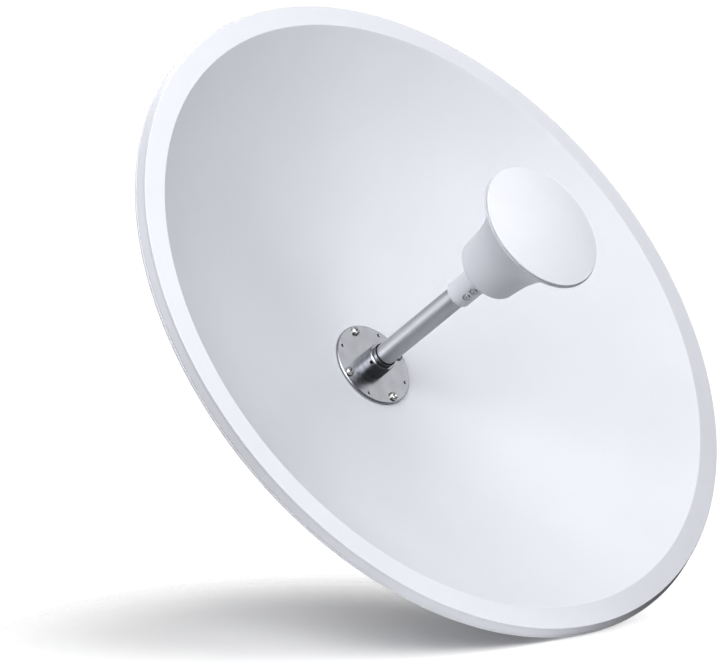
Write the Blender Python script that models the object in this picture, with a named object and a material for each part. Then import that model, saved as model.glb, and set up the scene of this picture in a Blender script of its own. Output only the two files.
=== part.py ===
"""Dish antenna for a point-to-point wireless bridge, on its tilting pole bracket.

The reflector, its feed and the bracket that carries them are separate sub-parts. World +Z is up, the
dish looks towards -Y and is raised by ELEVATION, and the origin lies on the bracket's flat rear face.
The dish and its feed are laid out along the local +Z of an empty called boresight, whose origin is
the centre of the flat seat at the bottom of the bowl.
"""

import math

import bmesh
import bpy
from mathutils import Matrix, Vector

MM = 0.001
GAP = 0.3 * MM

# Pose of the dish on its bracket.
ELEVATION = math.radians(35.1)
PIVOT_AHEAD = 58 * MM
PIVOT_BEHIND_SEAT = 78 * MM
PIVOT_ABOVE_AXIS = 34 * MM

# Reflector, a spun sheet with a flat hub seat, a parabolic bowl, a flat lip and a turned-back skirt.
SHEET = 1.5 * MM
SEAT_RADIUS = 45.5 * MM
FOCAL_LENGTH = 214.5 * MM
BOWL_RADIUS = 303.4 * MM
RIM_RADIUS = 324.0 * MM
RIM_PLANE = 104.1 * MM
RIM_EDGE = 0.8 * MM
SKIRT_RADIUS = 327.4 * MM
SKIRT_DEPTH = 11.4 * MM
HEM_RADIUS = 2.2 * MM
HEM_TURN = 2.0 * MM
BOWL_STEPS = 6
DISH_SEGMENTS = 60

# Feed flange with its four pan-head screws and four small holes between them.
FLANGE_RADIUS = 41.2 * MM
FLANGE_THICK = 2.4 * MM
FLANGE_EDGE = 0.8 * MM
FLANGE_CLOCKING = math.radians(6.5)
SCREW_CIRCLE = 35.3 * MM
SCREW_SHANK = 2.5 * MM
SCREW_LENGTH = 9.5 * MM
SCREW_HEAD = 4.2 * MM
SCREW_HEAD_HIGH = 2.6 * MM
SMALL_HOLE = 1.15 * MM
SMALL_HOLE_CIRCLE = 36.0 * MM
SMALL_HOLE_CLOCKING = math.radians(50.2)

# Feed tube, its clamping collar with a thin nose, and the ring that seals them.
TUBE_RADIUS = 10.3 * MM
TUBE_REAR = -13.0 * MM
TUBE_FRONT = 150.0 * MM
TUBE_EDGE = 0.5 * MM
COLLAR_RADIUS = 13.8 * MM
COLLAR_LENGTH = 13.7 * MM
COLLAR_EDGE = 0.8 * MM
NOSE_RADIUS = 11.3 * MM
NOSE_LENGTH = 3.6 * MM
NOSE_EDGE = 0.3 * MM
GROOVE_RADIUS = 11.7 * MM
GROOVE_DEPTH = 0.5 * MM
SET_SCREW_RADIUS = 1.5 * MM
SET_SCREW_HIGH = 1.2 * MM
SET_SCREW_SUNK = 0.3 * MM
SET_SCREW_KEY = 0.8 * MM
SET_SCREW_PLACE = 13.0 * MM
SET_SCREW_TURNS = (math.radians(189.5), math.radians(95.0))
RING_WIRE = 0.5 * MM

# Feed head: neck sleeve with four screws, bell and domed cap.
SLEEVE_RADIUS = 12.9 * MM
SLEEVE_REAR = 130.9 * MM
SLEEVE_FRONT = 172.8 * MM
SLEEVE_EDGE = 1.6 * MM
NECK_SCREW_PLACES = (145.3 * MM, 155.6 * MM)
NECK_SCREW_TURN = math.radians(233.0)
NECK_SCREW_HEAD = 2.9 * MM
NECK_SCREW_HIGH = 1.3 * MM
NECK_SCREW_SHANK = 1.0 * MM
NECK_SCREW_LENGTH = 0.8 * MM
NECK_POCKET_RADIUS = 4.0 * MM
NECK_POCKET_DEPTH = 1.3 * MM
BELL_SHOULDER_RADIUS = 30.8 * MM
BELL_SHOULDER_EDGE = 5.3 * MM
BELL_TAPER = 6.0 * MM
BELL_MOUTH_RADIUS = 60.4 * MM
BELL_CURVE = 3.03
BELL_RIM_RADIUS = 62.0 * MM
BELL_RIM_PLANE = 252.5 * MM
BELL_RIM_THICK = 1.5 * MM
BELL_MOUTH_BACK = 1.0 * MM
BELL_STEPS = 8
CAP_RADIUS = 61.4 * MM
CAP_THICK = 1.9 * MM
CAP_EDGE = 1.1 * MM
CAP_RISE = 4.5 * MM
CAP_STEPS = 5

# Hub casting behind the dish, and the feed's rear housing with its two capped ports.
HUB_RADIUS = 70.0 * MM
HUB_REAR = -10.0 * MM
HUB_EDGE = 4.0 * MM
HOUSING_RADIUS = 20.0 * MM
HOUSING_REAR = -46.0 * MM
HOUSING_EDGE = 2.0 * MM
PORT_OFFSET = 8.5 * MM
PORT_FLANGE = (6.0 * MM, 3.0 * MM)
PORT_NECK = (4.2 * MM, 2.0 * MM)
PORT_CAP = (5.2 * MM, 9.0 * MM)
PORT_CAP_EDGE = 0.8 * MM

# Folded steel brackets: one bolted to the hub, one clamped to the pole.
STEEL = 3.0 * MM
TILT_HALF_WIDTH = 33.0 * MM
TILT_HALF_HEIGHT = 52.0 * MM
POLE_HALF_HEIGHT = 58.0 * MM
EYE_RADIUS = 17.0 * MM
EAR_EYE_RADIUS = 11.0 * MM
EAR_LOWER_REACH = 8.0 * MM
EAR_UPPER_REACH = 14.0 * MM
CHEEK_REACH = 12.0 * MM
LOCK_RADIUS = 36.0 * MM
LOCK_RANGE = (math.radians(-8.0), math.radians(50.0))
HUB_BOLT_PLACE = (21.0 * MM, 41.0 * MM)

# M8 fasteners: bolts, nuts and the U-bolts that hold the pole.
BOLT_RADIUS = 4.0 * MM
HEX_RADIUS = 6.9 * MM
HEX_HIGH = 5.0 * MM
WASHER_RADIUS = 8.4 * MM
WASHER_HIGH = 1.5 * MM
WASHER_OVERLAP = 0.3 * MM
HUB_BOLT_DEPTH = 4.0 * MM
U_BOLT_HALF_WIDTH = 27.0 * MM
U_BOLT_HEIGHT = 38.0 * MM
U_BOLT_STRAIGHT = 24.0 * MM
U_BOLT_END = -16.0 * MM


def clear_scene():
    for item in list(bpy.data.objects):
        bpy.data.objects.remove(item, do_unlink=True)


def material(name, color, roughness, metallic):
    """A Principled material, made once and then shared by name."""
    made = bpy.data.materials.get(name)
    if made is None:
        made = bpy.data.materials.new(name)
        made.use_nodes = True
        shader = made.node_tree.nodes["Principled BSDF"]
        shader.inputs["Base Color"].default_value = (*color, 1.0)
        shader.inputs["Roughness"].default_value = roughness
        shader.inputs["Metallic"].default_value = metallic
    return made


def white_paint():
    return material("white_powder_coat", (0.83, 0.84, 0.87), 0.45, 0.0)


def white_plastic():
    return material("white_plastic", (0.80, 0.81, 0.84), 0.35, 0.0)


def brushed_metal():
    return material("brushed_metal", (0.62, 0.63, 0.65), 0.30, 1.0)


def bright_steel():
    return material("bright_steel", (0.58, 0.58, 0.60), 0.22, 1.0)


def zinc_steel():
    return material("zinc_steel", (0.52, 0.53, 0.55), 0.42, 1.0)


def black_rubber():
    return material("black_rubber", (0.03, 0.03, 0.03), 0.7, 0.0)


def finish(name, mesh_data, look, parent=None):
    """Turns bmesh data into a named, smooth-shaded object."""
    bmesh.ops.recalc_face_normals(mesh_data, faces=mesh_data.faces)
    mesh = bpy.data.meshes.new(name)
    mesh_data.to_mesh(mesh)
    mesh_data.free()
    mesh.shade_smooth()
    mesh.set_sharp_from_angle(angle=math.radians(35))
    made = bpy.data.objects.new(name, mesh)
    bpy.context.collection.objects.link(made)
    made.data.materials.append(look)
    made.parent = parent
    return made


def lathe(name, outline, segments, look, parent=None):
    """Turns an outline of (radius, height) points about Z. It is a closed loop, or runs from axis to axis."""
    data = bmesh.new()
    rings = []
    for radius, height in outline:
        if radius == 0.0:
            rings.append([data.verts.new((0.0, 0.0, height))])
            continue
        ring = []
        for step in range(segments):
            angle = 2.0 * math.pi * step / segments
            ring.append(data.verts.new((radius * math.cos(angle), radius * math.sin(angle), height)))
        rings.append(ring)
    closed = outline[0][0] > 0.0
    pairs = list(zip(rings, rings[1:]))
    if closed:
        pairs.append((rings[-1], rings[0]))
    for lower, upper in pairs:
        for step in range(segments):
            after = (step + 1) % segments
            corners = [lower[step % len(lower)], lower[after % len(lower)]]
            corners += [upper[after % len(upper)], upper[step % len(upper)]]
            data.faces.new(dict.fromkeys(corners))
    return finish(name, data, look, parent)


def prism(name, outline, low, high, look, parent=None, along="X"):
    """Extrudes a flat outline. Its two numbers are Y and Z for a prism along X, and X and Y along Z."""
    data = bmesh.new()
    ends = []
    for level in (low, high):
        points = [(level, a, b) if along == "X" else (a, b, level) for a, b in outline]
        ends.append([data.verts.new(point) for point in points])
    data.faces.new(ends[0])
    data.faces.new(list(reversed(ends[1])))
    for step in range(len(outline)):
        after = (step + 1) % len(outline)
        data.faces.new((ends[0][step], ends[0][after], ends[1][after], ends[1][step]))
    return finish(name, data, look, parent)


def arc(centre, radius, start, end, steps):
    """Points on an arc, from the start angle to the end angle, both counted."""
    points = []
    for step in range(steps + 1):
        angle = start + (end - start) * step / steps
        points.append((centre[0] + radius * math.cos(angle), centre[1] + radius * math.sin(angle)))
    return points


def combine(target, tool, operation):
    """Cuts the target with a hidden tool, or joins the tool to it."""
    tool.hide_render = True
    tool.display_type = "WIRE"
    change = target.modifiers.new(tool.name, "BOOLEAN")
    change.object = tool
    change.operation = operation
    change.solver = "EXACT"


def round_cutter(name, places, radius, low, high, segments, parent):
    """Upright cylinders at several (x, y) places, as one cutter."""
    data = bmesh.new()
    for x, y in places:
        middle = Matrix.Translation((x, y, (low + high) / 2.0))
        bmesh.ops.create_cone(
            data, cap_ends=True, segments=segments, radius1=radius, radius2=radius,
            depth=high - low, matrix=middle,
        )
    return finish(name, data, zinc_steel(), parent)


def around(radius, count, start):
    """Places (x, y) spread evenly round a circle."""
    step = 2.0 * math.pi / count
    return [(radius * math.cos(start + k * step), radius * math.sin(start + k * step)) for k in range(count)]


def bowl_height(radius):
    """Height of the bowl's front surface above the flat hub seat."""
    if radius <= SEAT_RADIUS:
        return 0.0
    return (radius**2 - SEAT_RADIUS**2) / (4.0 * FOCAL_LENGTH)


def thicken(line, thickness):
    """Closes an open line of points with a second one, offset to its right."""
    back = []
    for index, point in enumerate(line):
        before = Vector(line[max(index - 1, 0)])
        after = Vector(line[min(index + 1, len(line) - 1)])
        here = Vector(point)
        normals = []
        for start, end in ((before, here), (here, after)):
            run = end - start
            if run.length > 0.0:
                normals.append(Vector((run.y, -run.x)).normalized())
        mean = sum(normals, Vector((0.0, 0.0))).normalized()
        reach = thickness / mean.dot(normals[0])
        back.append(tuple(here + mean * reach))
    return list(line) + list(reversed(back))


def boresight_empty():
    """The dish's frame: local Z is the boresight, and the origin is the centre of the hub seat."""
    ahead = Vector((0.0, -math.cos(ELEVATION), math.sin(ELEVATION)))
    over = Vector((0.0, math.sin(ELEVATION), math.cos(ELEVATION)))
    pivot = Vector((0.0, -PIVOT_AHEAD, 0.0))
    empty = bpy.data.objects.new("boresight", None)
    bpy.context.collection.objects.link(empty)
    empty.location = pivot + ahead * PIVOT_BEHIND_SEAT - over * PIVOT_ABOVE_AXIS
    empty.rotation_euler = (math.radians(90.0) - ELEVATION, 0.0, 0.0)
    return empty


def add_reflector(boresight):
    """The spun dish, with holes for the feed tube and the flange screws."""
    line = [(TUBE_RADIUS + GAP, 0.0), (SEAT_RADIUS, 0.0)]
    for step in range(1, BOWL_STEPS + 1):
        radius = SEAT_RADIUS + (BOWL_RADIUS - SEAT_RADIUS) * step / BOWL_STEPS
        line.append((radius, bowl_height(radius)))
    skirt_end = RIM_PLANE - SKIRT_DEPTH
    line += [(RIM_RADIUS - RIM_EDGE, RIM_PLANE + RIM_EDGE / 4.0), (RIM_RADIUS, RIM_PLANE - RIM_EDGE / 2.0)]
    hem_centre = (SKIRT_RADIUS - HEM_RADIUS, skirt_end + HEM_RADIUS)
    line += arc(hem_centre, HEM_RADIUS, 0.0, math.radians(-90.0), 2)
    line.append((hem_centre[0] - HEM_TURN, skirt_end))
    dish = lathe("reflector_dish", thicken(line, SHEET), DISH_SEGMENTS, white_paint(), boresight)
    holes = round_cutter(
        "dish_screw_holes", around(SCREW_CIRCLE, 4, FLANGE_CLOCKING), SCREW_SHANK + GAP,
        -2.0 * SHEET, SHEET, 16, boresight,
    )
    combine(dish, holes, "DIFFERENCE")


def add_flange(boresight):
    """The feed's round mounting plate, in front of the dish."""
    rear = GAP
    front = rear + FLANGE_THICK
    bore = TUBE_RADIUS + GAP
    outline = [
        (bore, rear), (FLANGE_RADIUS, rear), (FLANGE_RADIUS, front - FLANGE_EDGE),
        (FLANGE_RADIUS - FLANGE_EDGE, front), (bore, front),
    ]
    flange = lathe("feed_flange", outline, 44, brushed_metal(), boresight)
    screws = round_cutter(
        "flange_screw_holes", around(SCREW_CIRCLE, 4, FLANGE_CLOCKING), SCREW_SHANK + GAP,
        rear - MM, front + MM, 16, boresight,
    )
    combine(flange, screws, "DIFFERENCE")
    small = round_cutter(
        "flange_small_holes", around(SMALL_HOLE_CIRCLE, 4, SMALL_HOLE_CLOCKING), SMALL_HOLE,
        rear - MM, front + MM, 10, boresight,
    )
    combine(flange, small, "DIFFERENCE")
    return front


def pan_screw(name, head_radius, head_high, shank_radius, shank_long, parent):
    """A pan-head screw along Z, its bearing face at height 0."""
    outline = [(0.0, -shank_long), (shank_radius, -shank_long), (shank_radius, 0.0), (head_radius, 0.0)]
    outline.append((head_radius, head_high * 0.45))
    outline += [(head_radius * 0.86, head_high * 0.85), (head_radius * 0.5, head_high), (0.0, head_high)]
    return lathe(name, outline, 14, bright_steel(), parent)


def add_flange_screws(boresight, flange_front):
    """Four pan-head screws through flange and dish into the hub."""
    bearing = flange_front + GAP
    for index, (x, y) in enumerate(around(SCREW_CIRCLE, 4, FLANGE_CLOCKING + math.pi / 2.0)):
        screw = pan_screw(
            f"flange_screw_{index + 1}", SCREW_HEAD, SCREW_HEAD_HIGH, SCREW_SHANK, SCREW_LENGTH, boresight
        )
        screw.location = (x, y, bearing)
        screw.rotation_euler = (0.0, 0.0, math.radians(20.0 + 31.0 * index))


def sideways(turn, height):
    """A frame whose Z points out of the boresight at a given turn and height."""
    aim = Matrix.Rotation(turn, 4, "Z") @ Matrix.Rotation(math.radians(90.0), 4, "Y")
    return Matrix.Translation((0.0, 0.0, height)) @ aim


def add_collar(boresight, flange_front):
    """The clamping collar with its two set screws, and the sealing ring in front of its nose."""
    rear = flange_front + GAP
    front = rear + COLLAR_LENGTH
    nose = front + NOSE_LENGTH
    bore = TUBE_RADIUS + GAP
    outline = [
        (bore, rear), (COLLAR_RADIUS, rear), (COLLAR_RADIUS, front - COLLAR_EDGE),
        (COLLAR_RADIUS - COLLAR_EDGE, front), (GROOVE_RADIUS, front), (GROOVE_RADIUS, front - GROOVE_DEPTH),
        (NOSE_RADIUS, front - GROOVE_DEPTH), (NOSE_RADIUS, nose - NOSE_EDGE), (NOSE_RADIUS - NOSE_EDGE, nose),
        (bore, nose),
    ]
    collar = lathe("feed_collar", outline, 32, brushed_metal(), boresight)
    top = COLLAR_RADIUS - SET_SCREW_SUNK
    low = top - SET_SCREW_HIGH
    for index, turn in enumerate(SET_SCREW_TURNS):
        seat = sideways(turn, SET_SCREW_PLACE)
        pocket = round_cutter(
            f"set_screw_pocket_{index + 1}", [(0.0, 0.0)], SET_SCREW_RADIUS + GAP, low - GAP,
            COLLAR_RADIUS + MM, 12, boresight,
        )
        pocket.matrix_local = seat
        combine(collar, pocket, "DIFFERENCE")
        key_floor = top - SET_SCREW_HIGH / 2.0
        screw_outline = [
            (0.0, low), (SET_SCREW_RADIUS, low), (SET_SCREW_RADIUS, top), (SET_SCREW_KEY, top),
            (SET_SCREW_KEY, key_floor), (0.0, key_floor),
        ]
        screw = lathe(f"collar_set_screw_{index + 1}", screw_outline, 12, bright_steel(), boresight)
        screw.matrix_local = seat
    ring_centre = (bore + RING_WIRE, nose + GAP + RING_WIRE)
    ring = arc(ring_centre, RING_WIRE, 0.0, 2.0 * math.pi, 6)[:-1]
    lathe("collar_o_ring", ring, 28, black_rubber(), boresight)


def add_tube(boresight):
    """The straight tube that carries the feed head."""
    outline = [
        (0.0, TUBE_REAR), (TUBE_RADIUS - TUBE_EDGE, TUBE_REAR), (TUBE_RADIUS, TUBE_REAR + TUBE_EDGE),
        (TUBE_RADIUS, TUBE_FRONT - TUBE_EDGE), (TUBE_RADIUS - TUBE_EDGE, TUBE_FRONT), (0.0, TUBE_FRONT),
    ]
    lathe("feed_tube", outline, 32, brushed_metal(), boresight)


def add_neck_sleeve(boresight):
    """The plastic sleeve on the tube's end, with four screws in shallow pockets."""
    bore = TUBE_RADIUS + GAP
    edge_centre = (SLEEVE_RADIUS - SLEEVE_EDGE, SLEEVE_REAR + SLEEVE_EDGE)
    outline = [(bore, SLEEVE_REAR)]
    outline += arc(edge_centre, SLEEVE_EDGE, math.radians(-90.0), 0.0, 4)
    outline += [(SLEEVE_RADIUS, SLEEVE_FRONT), (bore, SLEEVE_FRONT)]
    sleeve = lathe("feed_neck_sleeve", outline, 28, white_plastic(), boresight)
    floor = SLEEVE_RADIUS - NECK_POCKET_DEPTH
    places = [(side, place) for side in (0.0, math.pi) for place in NECK_SCREW_PLACES]
    for number, (side, place) in enumerate(places, start=1):
        seat = sideways(NECK_SCREW_TURN + side, place)
        pocket = round_cutter(
            f"neck_pocket_{number}", [(0.0, 0.0)], NECK_POCKET_RADIUS, floor, SLEEVE_RADIUS + MM, 16, boresight
        )
        hole = round_cutter(
            f"neck_hole_{number}", [(0.0, 0.0)], NECK_SCREW_SHANK + GAP, TUBE_RADIUS - MM, SLEEVE_RADIUS,
            12, boresight,
        )
        for cutter in (pocket, hole):
            cutter.matrix_local = seat
            combine(sleeve, cutter, "DIFFERENCE")
        screw = pan_screw(
            f"neck_screw_{number}", NECK_SCREW_HEAD, NECK_SCREW_HIGH, NECK_SCREW_SHANK, NECK_SCREW_LENGTH,
            boresight,
        )
        screw.matrix_local = seat @ Matrix.Translation((0.0, 0.0, floor + GAP))


def bell_radius(share):
    """Radius of the bell between its shoulder, share 0, and its mouth, share 1."""
    straight = BELL_SHOULDER_RADIUS + BELL_TAPER * share
    flare = BELL_MOUTH_RADIUS - BELL_SHOULDER_RADIUS - BELL_TAPER
    return straight + flare * share**BELL_CURVE


def add_bell(boresight):
    """The flared body of the feed head, with a rounded shoulder at the neck."""
    rear = SLEEVE_FRONT + GAP
    shoulder = rear + BELL_SHOULDER_EDGE
    outline = [(0.0, rear)]
    edge_centre = (BELL_SHOULDER_RADIUS - BELL_SHOULDER_EDGE, shoulder)
    outline += arc(edge_centre, BELL_SHOULDER_EDGE, math.radians(-90.0), 0.0, 4)
    rim_rear = BELL_RIM_PLANE - BELL_RIM_THICK
    mouth = rim_rear - BELL_MOUTH_BACK
    for step in range(1, BELL_STEPS + 1):
        share = step / BELL_STEPS
        outline.append((bell_radius(share), shoulder + (mouth - shoulder) * share))
    outline += [(BELL_RIM_RADIUS, rim_rear), (BELL_RIM_RADIUS, BELL_RIM_PLANE), (0.0, BELL_RIM_PLANE)]
    lathe("feed_bell", outline, 44, white_plastic(), boresight)


def add_cap(boresight):
    """The domed disc that closes the bell."""
    rear = BELL_RIM_PLANE + GAP
    front = rear + CAP_THICK
    face = CAP_RADIUS - CAP_EDGE
    outline = [(0.0, rear), (CAP_RADIUS, rear), (CAP_RADIUS, front - CAP_EDGE), (face, front)]
    for step in range(1, CAP_STEPS + 1):
        across = face * (1.0 - step / CAP_STEPS)
        outline.append((across, front + CAP_RISE * (1.0 - (across / face) ** 2)))
    lathe("feed_cap", outline, 44, white_plastic(), boresight)


def add_hub(boresight):
    """The round casting that backs the bowl and takes all the screws."""
    face = -SHEET - GAP
    bore = TUBE_RADIUS + GAP
    line = [(bore, face), (SEAT_RADIUS, face)]
    for share in (0.5, 1.0):
        radius = SEAT_RADIUS + (HUB_RADIUS - SEAT_RADIUS) * share
        line.append((radius, face + bowl_height(radius)))
    outline = line + [(HUB_RADIUS, HUB_REAR + HUB_EDGE), (HUB_RADIUS - HUB_EDGE, HUB_REAR), (bore, HUB_REAR)]
    hub = lathe("rear_hub", outline, 36, white_paint(), boresight)
    feed_holes = round_cutter(
        "hub_feed_holes", around(SCREW_CIRCLE, 4, FLANGE_CLOCKING), SCREW_SHANK + GAP,
        -SCREW_LENGTH, MM, 16, boresight,
    )
    combine(hub, feed_holes, "DIFFERENCE")
    x, y = HUB_BOLT_PLACE
    corners = [(x, y), (-x, y), (-x, -y), (x, -y)]
    bolt_holes = round_cutter(
        "hub_bolt_holes", corners, BOLT_RADIUS + GAP, HUB_REAR - MM, HUB_REAR + HUB_BOLT_DEPTH + MM, 16,
        boresight,
    )
    combine(hub, bolt_holes, "DIFFERENCE")


def add_housing(boresight):
    """The feed's rear housing on the hub, with two capped ports."""
    front = HUB_REAR - GAP
    socket = TUBE_RADIUS + GAP
    depth = TUBE_REAR - GAP
    outline = [
        (0.0, HOUSING_REAR), (HOUSING_RADIUS - HOUSING_EDGE, HOUSING_REAR),
        (HOUSING_RADIUS, HOUSING_REAR + HOUSING_EDGE), (HOUSING_RADIUS, front), (socket, front),
        (socket, depth), (0.0, depth),
    ]
    lathe("feed_rear_housing", outline, 28, brushed_metal(), boresight)
    for index, side in enumerate((-1.0, 1.0)):
        level = HOUSING_REAR - GAP
        outline = [(0.0, level)]
        for radius, long in (PORT_FLANGE, PORT_NECK, PORT_CAP):
            outline += [(radius, level), (radius, level - long)]
            level -= long
        outline[-1] = (PORT_CAP[0], level + PORT_CAP_EDGE)
        outline += [(PORT_CAP[0] - PORT_CAP_EDGE, level), (0.0, level)]
        port = lathe(f"rf_port_{index + 1}", outline, 14, bright_steel(), boresight)
        port.location = (side * PORT_OFFSET, 0.0, 0.0)


def hexagon(name, low, high, look, parent):
    """The six-sided body of a bolt head or nut."""
    outline = arc((0.0, 0.0), HEX_RADIUS, 0.0, 2.0 * math.pi, 6)[:-1]
    return prism(name, outline, low, high, look, parent, along="Z")


def hex_bolt(name, shank_long, look, parent):
    """A hex-head bolt along Z. The shank runs to -shank_long, under a washer face at height 0."""
    washer = [
        (0.0, -shank_long), (BOLT_RADIUS, -shank_long), (BOLT_RADIUS, 0.0), (WASHER_RADIUS, 0.0),
        (WASHER_RADIUS, WASHER_HIGH), (0.0, WASHER_HIGH),
    ]
    bolt = lathe(name, washer, 12, look, parent)
    low = WASHER_HIGH - WASHER_OVERLAP
    combine(bolt, hexagon(name + "_head", low, low + HEX_HIGH, look, bolt), "UNION")
    return bolt


def flange_nut(name, look, parent):
    """A hex nut with its washer face at height 0, open right through."""
    bore = BOLT_RADIUS + GAP
    low = WASHER_HIGH - WASHER_OVERLAP
    ring = [(bore, 0.0), (WASHER_RADIUS, 0.0), (WASHER_RADIUS, WASHER_HIGH), (bore, WASHER_HIGH)]
    nut = lathe(name, ring, 12, look, parent)
    combine(nut, hexagon(name + "_body", low, low + HEX_HIGH, look, nut), "UNION")
    hole = round_cutter(name + "_hole", [(0.0, 0.0)], bore, -MM, low + HEX_HIGH + MM, 12, nut)
    combine(nut, hole, "DIFFERENCE")
    return nut


def add_tilt_bracket(boresight):
    """The folded bracket on the hub. Its two ears reach back to the pivot."""
    front = HUB_REAR - GAP
    rear = front - STEEL
    high = TILT_HALF_HEIGHT
    wide = TILT_HALF_WIDTH + STEEL
    pivot = (PIVOT_ABOVE_AXIS, -PIVOT_BEHIND_SEAT)
    lock = (pivot[0] + LOCK_RADIUS, pivot[1])
    web = [(-wide, -high), (wide, -high), (wide, high), (-wide, high)]
    bracket = prism("tilt_bracket", web, rear, front, zinc_steel(), boresight, along="Z")
    ear = [(-high, front), (-high, rear - EAR_LOWER_REACH)]
    ear += arc(pivot, EYE_RADIUS, math.radians(205.0), math.radians(270.0), 4)
    ear += arc(lock, EAR_EYE_RADIUS, math.radians(270.0), math.radians(395.0), 6)
    ear += [(high, rear - EAR_UPPER_REACH), (high, front)]
    for side in (-1.0, 1.0):
        levels = sorted((side * TILT_HALF_WIDTH, side * wide))
        name = "tilt_ear_left" if side < 0.0 else "tilt_ear_right"
        part = prism(name, ear, levels[0], levels[1], zinc_steel(), boresight)
        combine(bracket, part, "UNION")
    centre = round_cutter(
        "tilt_web_hole", [(0.0, 0.0)], HOUSING_RADIUS + 3.0 * MM, rear - MM, front + MM, 32, boresight
    )
    combine(bracket, centre, "DIFFERENCE")
    x, y = HUB_BOLT_PLACE
    corners = [(x, y), (-x, y), (-x, -y), (x, -y)]
    holes = round_cutter(
        "tilt_bolt_holes", corners, BOLT_RADIUS + GAP, rear - MM, front + MM, 16, boresight
    )
    combine(bracket, holes, "DIFFERENCE")
    for name, place in (("tilt_pivot_hole", pivot), ("tilt_lock_hole", lock)):
        outline = arc(place, BOLT_RADIUS + GAP, 0.0, 2.0 * math.pi, 16)[:-1]
        hole = prism(name, outline, -wide - MM, wide + MM, zinc_steel(), boresight)
        combine(bracket, hole, "DIFFERENCE")
    for index, (bolt_x, bolt_y) in enumerate(corners):
        bolt = hex_bolt(f"hub_bolt_{index + 1}", STEEL + HUB_BOLT_DEPTH, bright_steel(), boresight)
        bolt.rotation_euler = (math.pi, 0.0, 0.0)
        bolt.location = (bolt_x, bolt_y, rear - GAP)


def slot_outline(centre, radius, half_width, start, end):
    """A curved slot about a centre, with round ends. Angles are counted from +Z towards +Y."""
    def at(angle, reach):
        return (centre[0] + reach * math.sin(angle), centre[1] + reach * math.cos(angle))

    outer = [at(start + (end - start) * k / 8, radius + half_width) for k in range(9)]
    inner = [at(end - (end - start) * k / 8, radius - half_width) for k in range(9)]
    end_centre, start_centre = at(end, radius), at(start, radius)
    end_cap = arc(end_centre, half_width, math.pi / 2.0 - end, -math.pi / 2.0 - end, 6)[1:-1]
    start_cap = arc(start_centre, half_width, -math.pi / 2.0 - start, -1.5 * math.pi - start, 6)[1:-1]
    return outer + end_cap + inner + start_cap


def add_pole_bracket():
    """The folded bracket on the pole, with a pivot hole and a curved lock slot in each flange."""
    inner = TILT_HALF_WIDTH + STEEL + GAP
    outer = inner + STEEL
    high = POLE_HALF_HEIGHT
    pivot = (-PIVOT_AHEAD, 0.0)
    web = [(-outer, -STEEL), (outer, -STEEL), (outer, 0.0), (-outer, 0.0)]
    bracket = prism("pole_bracket", web, -high, high, zinc_steel(), along="Z")
    cheek = [(0.0, -high), (0.0, high), (-CHEEK_REACH, high)]
    cheek += arc(pivot, LOCK_RADIUS + EAR_EYE_RADIUS, math.radians(62.0), math.radians(104.0), 6)
    cheek += arc(pivot, EYE_RADIUS + 2.0 * MM, math.radians(150.0), math.radians(270.0), 6)
    cheek += [(-CHEEK_REACH, -high)]
    slot = slot_outline(pivot, LOCK_RADIUS, BOLT_RADIUS + GAP, *LOCK_RANGE)
    eye = arc(pivot, BOLT_RADIUS + GAP, 0.0, 2.0 * math.pi, 16)[:-1]
    for side, label in ((-1.0, "left"), (1.0, "right")):
        levels = sorted((side * inner, side * outer))
        part = prism(f"pole_cheek_{label}", cheek, levels[0], levels[1], zinc_steel())
        combine(bracket, part, "UNION")
    for name, outline in (("pole_pivot_hole", eye), ("pole_lock_slot", slot)):
        cutter = prism(name, outline, -outer - MM, outer + MM, zinc_steel())
        combine(bracket, cutter, "DIFFERENCE")
    for side in (-1.0, 1.0):
        for height in (-U_BOLT_HEIGHT, U_BOLT_HEIGHT):
            place = [(side * U_BOLT_HALF_WIDTH, height)]
            cutter = round_cutter("u_bolt_hole", place, BOLT_RADIUS + GAP, -MM, STEEL + MM, 16, None)
            cutter.rotation_euler = (math.radians(90.0), 0.0, 0.0)
            combine(bracket, cutter, "DIFFERENCE")
    return outer


def add_pivot_hardware(cheek_outer):
    """The pivot bolts and the lock bolts, with a nut inside each ear."""
    over = Vector((0.0, math.sin(ELEVATION), math.cos(ELEVATION)))
    pivot = Vector((0.0, -PIVOT_AHEAD, 0.0))
    places = {"pivot": pivot, "tilt_lock": pivot + over * LOCK_RADIUS}
    grip = cheek_outer - TILT_HALF_WIDTH + 2.0 * GAP
    for label, place in places.items():
        for side, word in ((-1.0, "left"), (1.0, "right")):
            bolt = hex_bolt(f"{label}_bolt_{word}", grip + WASHER_HIGH + HEX_HIGH, bright_steel(), None)
            bolt.location = place + Vector((side * (cheek_outer + GAP), 0.0, 0.0))
            bolt.rotation_euler = (0.0, side * math.radians(90.0), 0.0)
            nut = flange_nut(f"{label}_nut_{word}", bright_steel(), None)
            nut.location = place + Vector((side * (TILT_HALF_WIDTH - GAP), 0.0, 0.0))
            nut.rotation_euler = (0.0, -side * math.radians(90.0), 0.0)


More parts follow.
